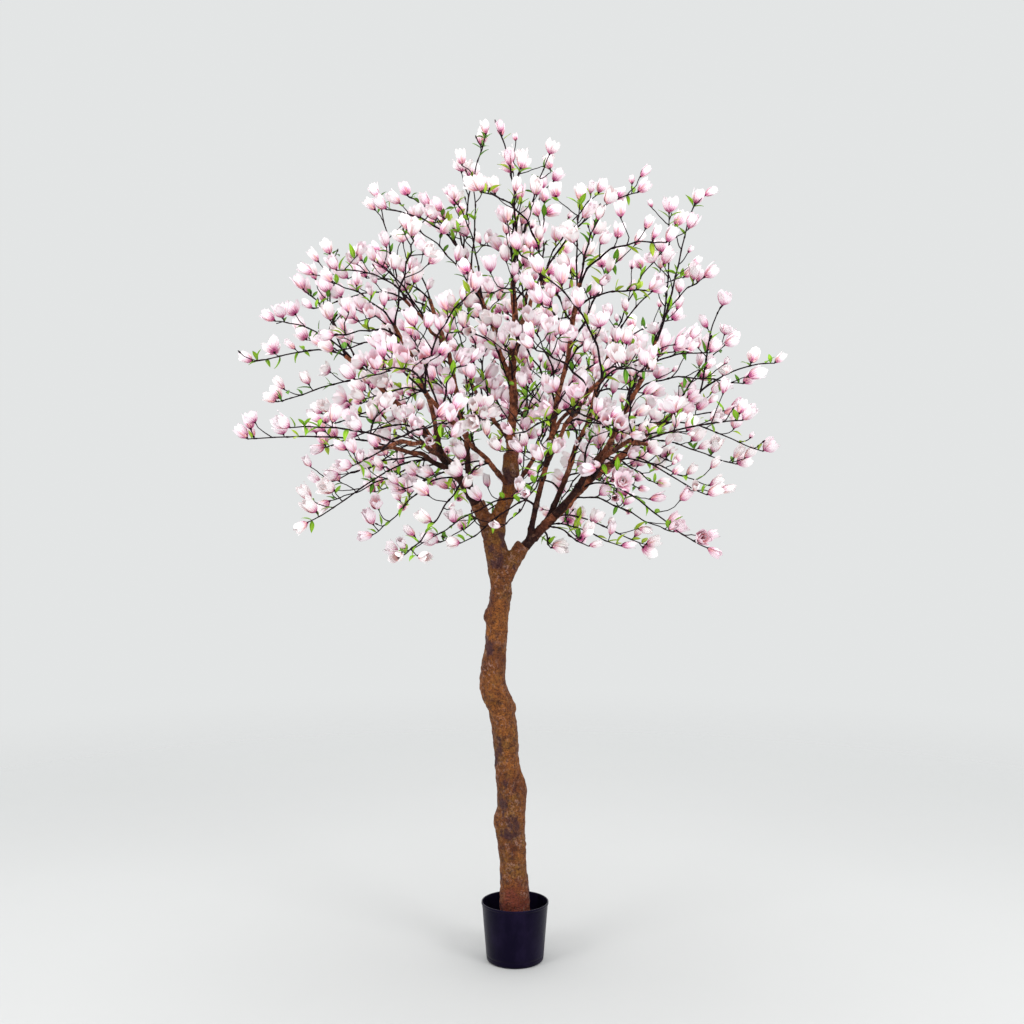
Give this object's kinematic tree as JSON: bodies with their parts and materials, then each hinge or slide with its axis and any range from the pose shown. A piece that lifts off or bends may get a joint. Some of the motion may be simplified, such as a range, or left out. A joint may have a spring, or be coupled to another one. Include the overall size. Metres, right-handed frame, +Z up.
{
  "type": "artificial magnolia tree",
  "caption": "Artificial magnolia tree with a moulded trunk and forked natural boughs, a round open crown of pink blossom sprays, standing in a plain black nursery pot.",
  "frame": {"origin": "centre of the pot's flat underside, on the floor", "axes": "+Z up; the reference view looks along +Y, with +X to its right; the crown spreads evenly to all sides"},
  "size_m": [1.9562, 1.8918, 3],
  "materials": {
    "pot_plastic": "moulded black plastic with a satin sheen",
    "cement": "rough cast cement",
    "moulded_bark": "moulded bark relief, golden brown with dark purple-brown patches",
    "natural_wood": "natural reddish brown branch with its bark on",
    "blossom": "silk petals, near white at the tip and magenta pink at the base",
    "leaf": "silk leaf, bright yellow green with a paler midrib",
    "twig": "knotty dark purple-brown plastic over wire"
  },
  "bodies": {
    "root": {"back_bough": "natural_wood", "back_left_bough": "natural_wood", "back_low_left_bough": "natural_wood", "back_low_right_bough": "natural_wood", "ballast": "cement", "blossom_back_left": "blossom", "blossom_back_middle": "blossom", "blossom_back_right": "blossom", "blossom_foot_left": "blossom", "blossom_foot_right": "blossom", "blossom_front_left": "blossom", "blossom_front_right": "blossom", "blossom_high_back": "blossom", "blossom_high_left": "blossom", "blossom_high_right": "blossom", "blossom_low_back": "blossom", "blossom_low_back_left": "blossom", "blossom_low_back_right": "blossom", "blossom_low_left": "blossom", "blossom_low_right": "blossom", "blossom_outer_right": "blossom", "blossom_shoulder_back": "blossom", "blossom_shoulder_front_left": "blossom", "blossom_shoulder_front_right": "blossom", "blossom_shoulder_left": "blossom", "blossom_shoulder_right": "blossom", "blossom_side_back_left": "blossom", "blossom_side_back_right": "blossom", "blossom_side_front_left": "blossom", "blossom_side_front_right": "blossom", "blossom_side_left": "blossom", "blossom_side_right": "blossom", "blossom_tip_left": "blossom", "blossom_tip_right": "blossom", "blossom_top": "blossom", "blossom_top_left": "blossom", "blossom_top_right": "blossom", "blossom_upper_left": "blossom", "blossom_upper_right": "blossom", "front_left_bough": "natural_wood", "front_low_left_bough": "natural_wood", "front_low_right_bough": "natural_wood", "front_right_bough": "natural_wood", "leader": "natural_wood", "leader_back_bough": "natural_wood", "leader_left_bough": "natural_wood", "leader_right_bough": "natural_wood", "left_bough": "natural_wood", "left_fork_bough": "natural_wood", "left_front_bough": "natural_wood", "left_low_bough": "natural_wood", "left_rising_bough": "natural_wood", "pot": "pot_plastic", "right_back_bough": "natural_wood", "right_bough": "natural_wood", "right_front_bough": "natural_wood", "right_middle_bough": "natural_wood", "right_upper_bough": "natural_wood", "trunk": "moulded_bark", "trunk_foot": "moulded_bark"}
  },
  "joints": []
}
